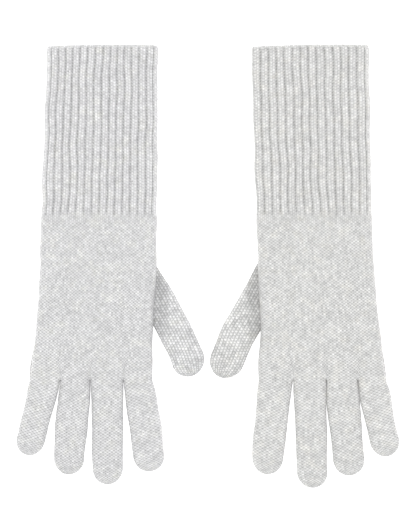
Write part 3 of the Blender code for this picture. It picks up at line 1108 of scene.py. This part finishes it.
@dataclass
class Digit:
    """A finger or the thumb: a flat knitted tube with a rounded, closed tip.

    Attributes:
        name: The finger's name.
        start: The middle of its root, x and y.
        root_width: Its width at the root as knitted.
        body_width: Its width there as packed, a little narrower beside its neighbours.
        width: Its full width.
        length: From its root to its tip.
        middle: From its root to its middle fold.
        lean: Its angle at the root, in degrees towards the thumb's side.
        curl: How far it turns back by its tip.
        wales: The wales on one of its faces.
        first_wale: The wale count at its first fold.
        fullness: How much wider it lies between its root and its middle.
        level_root: Whether its first course lies along the root line of the fingers.
    """

    lay: Lay
    material: Material
    name: str
    start: tuple[float, float]
    root_width: float
    body_width: float
    width: float
    length: float
    middle: float
    lean: float
    curl: float
    wales: int
    first_wale: float = 0.0
    fullness: float = 0.0
    level_root: bool = True
    thickness: float = 10.0
    edge: float = 3.6
    tip_rounding: float = 12.5
    tip_flatness: float = 0.15  # the share of its thickness that the very tip keeps
    tip_rise: float = 0.3  # the share of the lost thickness that the tip lifts off the table
    edge_limit: float = 0.8
    dome_degrees: float = 84.0
    dome_rows: int = 17
    tip_stretch: float = 1.1
    full_width_at: float = 16.0
    straighten_over: float = 14.0
    columns_per_wale: int = 2
    split_before_fold: float = 8.0
    root_bend: float = 10.0
    fold_from: float = -4.0
    fold_to: float = 8.0

    def centre(self, s: Array) -> tuple[Array, Array]:
        """The centre line at distances from the root.

        Args:
            s: Distances along the digit.

        Returns:
            Points as x and y, and the digit's angle there in radians.
        """
        lean = math.radians(self.lean)
        turned = lean - math.radians(self.curl) * np.maximum(s, 0) / self.length
        mean = (lean + turned) / 2
        way = np.stack([np.sin(mean), -np.cos(mean)], -1)
        return np.array(self.start) + way * np.asarray(s)[..., None], turned

    def half_width(self, s: Array) -> Array:
        """The digit's width before its tip is rounded.

        Args:
            s: Distances along the digit.

        Returns:
            Half its width there.
        """
        share = np.clip(s / self.full_width_at, 0, 1)
        grown = self.body_width + (self.width - self.body_width) * share
        extra = (self.root_width - self.body_width) * (1 - smooth(s / self.full_width_at))
        full = smooth(s / self.straighten_over) * (1 - smooth(s / self.length))
        return (grown + extra + self.fullness * full) / 2

    def rings(self, s: Array) -> Array:
        """The digit's points.

        Args:
            s: Distances along the digit.

        Returns:
            Points as rows by ring columns by 3, in the glove's own frame.
        """
        s = np.asarray(s, float)
        past = np.maximum(s - (self.length - self.tip_rounding), 0) / self.tip_rounding
        round_off = np.sqrt(np.clip(1 - past * past, 0, 1))
        half = self.half_width(s) * round_off
        height = self.thickness * (self.tip_flatness + (1 - self.tip_flatness) * round_off)
        floor = (self.thickness - height) * self.tip_rise
        edge = np.minimum(self.edge, self.edge_limit * half)[:, None]
        share = np.linspace(0, 1, self.wales * self.columns_per_wale + 1)
        place = across_face(share, 2 * half[:, None], edge)
        lift = rise(np.minimum(place, 2 * half[:, None] - place), edge)
        around, z = ring_of(place - half[:, None], lift, floor[:, None], height[:, None])
        middle, turned = self.centre(s)
        tilt = turned * (smooth(s / self.straighten_over) if self.level_root else 1.0)
        x = middle[:, :1] + np.cos(tilt)[:, None] * around
        y = middle[:, 1:] + np.sin(tilt)[:, None] * around
        return np.stack([x, y, z], 2)

    def grid(self, s: Array, travelled: Array, capped: bool = False) -> SkinGrid:
        """A skin over some of the digit.

        Args:
            s: Distances of its courses from the root.
            travelled: The lengths of fabric knitted by each course.
            capped: Whether the skin closes at its last course.

        Returns:
            The grid of that skin.
        """
        ring = 2 * self.wales * self.columns_per_wale
        count = self.first_wale + np.arange(ring + 1) / self.columns_per_wale
        wales, courses = np.broadcast_arrays(count[None, :], travelled[:, None] / COURSE_MM)
        local, tucked = self.shape(s)
        return SkinGrid(self.lay.settle(local), wales, courses, capped=capped, tucked=tucked)

    def shape(self, s: Array) -> tuple[Array, Array | None]:
        """The digit's points, and the painted shade on them where they lie under another fold."""
        return self.rings(s), None

    @staticmethod
    def courses_between(first: float, last: float) -> Array:
        """Places one course apart from first to last."""
        return np.linspace(first, last, max(round((last - first) / COURSE_MM), 1) + 1)

    def at(self, s: float) -> Point:
        """A point of the centre line, in the row's frame."""
        x, y = self.centre(np.array(s))[0]
        return self.lay.point(float(x), float(y))

    def lower(self) -> Piece:
        """Knit the digit from its root to before its middle fold.

        Returns:
            The piece.
        """
        hand = self.lay.hand
        s = self.courses_between(0, self.middle - self.split_before_fold)
        skin = Skin(f"{hand}_{self.name}_lower_skin", self.grid(s, s), Fabric.PLAIN, self.material)
        made = skin.build(f"{hand}_{self.name}_lower")
        start, end = self.at(0), self.at(self.root_bend)
        if self.level_root:
            end = (start[0], start[1] - self.root_bend * MM, 0.0)
        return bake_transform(made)

    def tip(self) -> Piece:
        """Knit the rest of the digit, round its tip and closed there.

        Returns:
            The piece.
        """
        hand = self.lay.hand
        dome_from = self.length - self.tip_rounding
        straight = self.courses_between(self.middle - self.split_before_fold, dome_from)
        angles = np.radians(np.linspace(0, self.dome_degrees, self.dome_rows + 1))[1:]
        s = np.concatenate([straight, dome_from + self.tip_rounding * np.sin(angles)])
        over = straight[-1] + self.tip_rounding * angles * self.tip_stretch
        travelled = np.concatenate([straight, over])
        grid = self.grid(s, travelled, capped=True)
        skin = Skin(f"{hand}_{self.name}_tip_skin", grid, Fabric.PLAIN, self.material)
        made = skin.build(f"{hand}_{self.name}_tip")
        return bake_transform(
            made,
            f"{hand}_{self.name}_lower_body",
            f"{hand}_{self.name}_tip_body",
            start=self.at(self.middle + self.fold_from),
            end=self.at(self.middle + self.fold_to),
        )

    def build(self) -> None:
        """Knit both parts."""
        self.lower()
        self.tip()


@dataclass
class Thumb(Digit):
    """The thumb, which leaves the hand from under its edge, with the gusset that it grows from."""

    reach: float = 52.0
    tuck: float = 4.5  # how far the hand's edge presses the thumb down beside it
    tuck_over: float = 11.0
    raised: float = 0.5  # how far the wedge's underside lies above the hand's, inside the hand
    shaded_to: float = 4.0  # how far from the hand's edge its full shade reaches
    tip_rounding: float = 14.5
    root_bend: float = 8.0

    def shape(self, s: Array) -> tuple[Array, Array | None]:
        """The thumb's points, pressed down where the hand's edge lies on it, with painted shade
        there.

        Args:
            s: Distances along the thumb.

        Returns:
            The points, and the painted shade on them beside the hand's edge, 0 to 1.
        """
        points = self.rings(s)
        x, y, z = (points[..., k] for k in range(3))
        beside = x - self.lay.lie.edges(np.maximum(y, 0))[1]
        down = 1 - smooth(beside / self.tuck_over)
        high = np.clip(z / self.thickness, 0, 1)
        points[..., 2] = z + down * (self.raised * (1 - high) - self.tuck * high)
        # painted shade on the thumb beside the hand's edge, where that edge's shadow falls; none
        # below the crotch
        shaded = 1 - smooth((beside - self.shaded_to) / self.tuck_over)
        below = np.clip((self.lay.lie.thumb_crotch_y - y) / self.tuck_over, 0, 1)
        return points, shaded * (1 - below)

    def half_width(self, s: Array) -> Array:
        """Half the thumb's width, where the gusset is a little slimmer at its far end."""
        return super().half_width(s) - self.lay.lie.gusset_slim * smooth(-s / self.reach)

    def gusset(self) -> Piece:
        """Knit the wedge between the hand's side and the thumb's root.

        Returns:
            The wedge, which rides on the hand's body.
        """
        hand = self.lay.hand
        s = self.courses_between(-self.reach, 0)
        grid = self.grid(s, s)
        skin = Skin(f"{hand}_thumb_gusset_skin", grid, Fabric.PLAIN, self.material)
        made = skin.build(f"{hand}_thumb_gusset")
        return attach(made, f"{hand}_hand_body")

    def build(self) -> None:
        """Knit the gusset and both parts of the thumb."""
        self.gusset()
        super().build()


@dataclass
class CrotchStitches:
    """Overcast loops of yarn that close the fabric between two fingers."""

    lay: Lay
    tube: HandTube
    material: Material
    loops: tuple[float, ...] = (0.7, 1.9, 3.1)  # distances from the root line
    loop_radius: float = 1.5
    yarn_radius: float = 0.42
    bury: float = 1.0
    slant: float = 0.35
    loop_steps: int = 20
    yarn_steps: int = 7
    loop_wales: float = 5.0  # how many stitches' worth of yarn one loop takes
    names: tuple[str, ...] = ("little_ring", "ring_middle", "middle_index")

    def loop(self, x: float, y: float) -> Array:
        """Shape one closed loop of yarn.

        Args:
            x: Where it is across the glove.
            y: Where it is along it.

        Returns:
            Points as steps round the loop by steps round the yarn by 3.
        """
        turn = np.linspace(0, 2 * math.pi, self.loop_steps, endpoint=False)[:, None]
        round_yarn = np.linspace(0, 2 * math.pi, self.yarn_steps, endpoint=False)[None, :]
        reach = self.loop_radius + self.yarn_radius * np.cos(round_yarn)
        z = self.tube.top(x, y) - self.bury
        px = x + reach * np.sin(turn)
        py = y + self.yarn_radius * np.sin(round_yarn) + self.slant * np.sin(turn)
        return np.stack(np.broadcast_arrays(px, py, z + reach * np.cos(turn)), 2)

    def build(self) -> None:
        """Sew the three crotches of a glove."""
        hand = self.lay.hand
        for name, x in zip(self.names, self.lay.lie.root_ends[1:-1]):
            parts = []
            for y in self.loops:
                points = self.lay.world(self.loop(x, y))
                courses, wales = np.meshgrid(
                    np.linspace(0, 1, self.yarn_steps + 1),
                    np.linspace(0, self.loop_wales, self.loop_steps + 1),
                )
                parts.append(SkinGrid(points, wales, courses, rows_wrapped=True))
            made = Skin(
                f"{hand}_crotch_stitches_{name}", parts[0], Fabric.TACK, self.material
            ).build(f"{hand}_crotch_tack_{name}")
            for k, part in enumerate(parts[1:]):
                self.join(made, part.mesh(f"{made.name}_{k}"))
            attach(made, f"{hand}_hand_body")

    @staticmethod
    def join(piece: Piece, extra: Mesh) -> None:
        """Add a mesh to a piece's own mesh.

        Args:
            piece: The piece that takes it.
            extra: The mesh, which is used up.
        """
        other = bpy.data.objects.new(extra.name, extra)
        bpy.context.scene.collection.objects.link(other)
        with bpy.context.temp_override(
            active_object=piece, object=piece, selected_editable_objects=[piece, other]
        ):
            bpy.ops.object.join()


@dataclass
class Glove:
    """One whole glove."""

    lie: Lie
    joints: list[dict[str, Any]]
    seed: float
    pale: str
    warmth: str
    finger_names: tuple[str, ...] = ("little", "ring", "middle", "index")
    finger_widths: tuple[float, ...] = (22.2, 24.6, 23.8, 24.6)
    finger_middles: tuple[float, ...] = (28.5, 35.0, 38.0, 34.0)
    crotch_gap: float = 1.2
    thumb_middle: float = 22.0
    thumb_wales: int = 13
    thumb_first_wale: float = 300.0  # far from the hand's counts, so that its mottling differs

    def finish(self, part: str, **changes: Any) -> Material:
        """This glove's yarn as knitted into one part.

        Args:
            part: The part's name.
            changes: Values of the yarn that differ in this part.

        Returns:
            The material.
        """
        name = f"{self.lie.hand.value}_{part}_heather_yarn"
        yarn = HeatherYarn(name, self.seed, pale=self.pale, warmth=self.warmth, **changes)
        return yarn.material()

    def fingers(self, lay: Lay, material: Material) -> Iterator[Digit]:
        """Lay out the four fingers.

        Args:
            lay: How the glove is laid.
            material: The fingers' finish.

        Yields:
            The fingers, from the little finger to the index finger.
        """
        first = 0
        for i, name in enumerate(self.finger_names):
            low, high = self.lie.root_ends[i], self.lie.root_ends[i + 1]
            body_width = (high - low - self.crotch_gap) * math.cos(math.radians(self.lie.leans[i]))
            yield Digit(
                lay=lay,
                material=material,
                name=name,
                start=((low + high) / 2, 0.0),
                root_width=high - low,
                body_width=body_width,
                width=self.finger_widths[i],
                length=self.lie.finger_lengths[i],
                fullness=self.lie.fullness[i],
                middle=self.finger_middles[i],
                lean=self.lie.leans[i],
                curl=self.lie.curls[i],
                wales=self.lie.finger_wales[i],
                first_wale=float(first),
            )
            first += self.lie.finger_wales[i]

    def thumb(self, lay: Lay, material: Material) -> Thumb:
        """Lay out the thumb.

        Args:
            lay: How the glove is laid.
            material: The thumb's finish.

        Returns:
            The thumb.
        """
        lean = math.radians(self.lie.thumb_lean)
        half = self.lie.thumb_width / 2
        x = self.lie.thumb_crotch[1] + self.lie.thumb_gap + math.cos(lean) * half
        return Thumb(
            lay=lay,
            material=material,
            name="thumb",
            start=(x, self.lie.thumb_crotch_y + math.sin(lean) * half),
            root_width=self.lie.thumb_width,
            body_width=self.lie.thumb_width,
            width=self.lie.thumb_width,
            length=self.lie.thumb_length,
            middle=self.thumb_middle,
            lean=self.lie.thumb_lean,
            curl=self.lie.thumb_curl,
            wales=self.thumb_wales,
            first_wale=self.thumb_first_wale,
            level_root=False,
        )

    def build(self) -> None:
        """Knit every piece of the glove."""
        lay = Lay.from_joints(self.lie, self.joints)
        tube = HandTube(self.lie)
        plain = self.finish("plain_knit")
        thumb = self.finish(
            "thumb_knit", hole_shade=0.38, line_shade=0.42, stitch_mix=0.14, lightness=1.1
        )
        rib = self.finish(
            "rib_knit", groove_shade=0.4, hole_shade=0.3, line_shade=0.24, stitch_mix=0.06,
            mottles=((7.0, 0.03), (2.6, 0.03), (0.5, 0.09)),
        )
        edge = self.finish("rolled_edge", hole_shade=0.2, relief_mm=0.2)
        tack = self.finish("overcast", hole_shade=0.2, relief_mm=0.1)
        RibbedCuff(lay, tube, rib, edge).build()
        HandSkin(lay, tube, plain).build()
        for finger in self.fingers(lay, plain):
            finger.build()
        self.thumb(lay, thumb).build()
        CrotchStitches(lay, tube, tack).build()


@dataclass(frozen=True)
class Softbox:
    """A soft square light: where it hangs, its side in metres and its power in watts."""

    name: str
    at: Point
    side: float
    power: float

    def hang(self) -> None:
        """Hang it so that it faces the middle of the table."""
        lamp = bpy.data.lights.new(self.name, "AREA")
        lamp.size = self.side
        lamp.energy = self.power
        made = bpy.data.objects.new(self.name, lamp)
        made.location = self.at
        made.rotation_euler = made.location.to_track_quat("Z", "Y").to_euler()
        bpy.context.scene.collection.objects.link(made)


@dataclass
class Studio:
    """A white light table, soft light from all round, and a camera that looks straight down."""

    frame_height: float = 0.4139
    view_centre: tuple[float, float] = (0.00023, -0.00039)
    camera_height: float = 2.4
    sensor_mm: float = 36.0
    table_z: float = -0.0004
    floor_half: float = 6.0
    sight_limit: float = 20.0
    room_colour: str = "#FFFFFF"
    room_strength: float = 0.75
    softboxes: tuple[Softbox, ...] = (
        Softbox("key_softbox", (-0.5, 0.7, 1.9), 1.2, 12.0),
        Softbox("fill_softbox", (0.6, -0.4, 1.9), 1.4, 8.0),
    )

    def floor(self) -> None:
        """Lay the table's top."""
        h = self.floor_half
        corners = [(-h, -h), (h, -h), (h, h), (-h, h)]
        mesh = bpy.data.meshes.new("light_table")
        mesh.from_pydata([(x, y, self.table_z) for x, y in corners], [], [(0, 1, 2, 3)])
        made = bpy.data.objects.new("light_table", mesh)
        made.data.materials.append(LitAcrylic().material())
        bpy.context.scene.collection.objects.link(made)

    def lights(self) -> None:
        """Light the table from above, more from the upper left, in a bright white room."""
        world = bpy.data.worlds.new("white_room")
        bpy.context.scene.world = world
        world.use_nodes = True
        background = world.node_tree.nodes["Background"]
        background.inputs["Color"].default_value = linear(self.room_colour)
        background.inputs["Strength"].default_value = self.room_strength
        for softbox in self.softboxes:
            softbox.hang()

    def camera(self) -> None:
        """Set the camera over the pair, with a long lens."""
        made = bpy.data.cameras.new("overhead_camera")
        made.sensor_width = self.sensor_mm
        made.lens = self.sensor_mm * self.camera_height / self.frame_height
        made.clip_end = self.sight_limit
        rig = bpy.data.objects.new("overhead_camera", made)
        rig.location = (*self.view_centre, self.camera_height)
        bpy.context.scene.collection.objects.link(rig)
        bpy.context.scene.camera = rig

    def build(self) -> None:
        """Set up everything that isn't the gloves."""
        self.camera()
        self.floor()
        self.lights()
        bpy.context.scene.view_settings.view_transform = "Standard"


def main() -> None:
    """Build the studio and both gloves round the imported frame."""
    logging.basicConfig(level=logging.INFO, format="%(name)s: %(message)s")
    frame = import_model()
    Studio().build()
    joints = frame["joints"]
    Glove(RIGHT_LIE, joints, seed=3.0, pale="#E7E7E8", warmth="#E7E7E4").build()
    Glove(LEFT_LIE, joints, seed=61.0, pale="#E6E6E5", warmth="#E6E5E1").build()


if __name__ == "__main__":
    main()
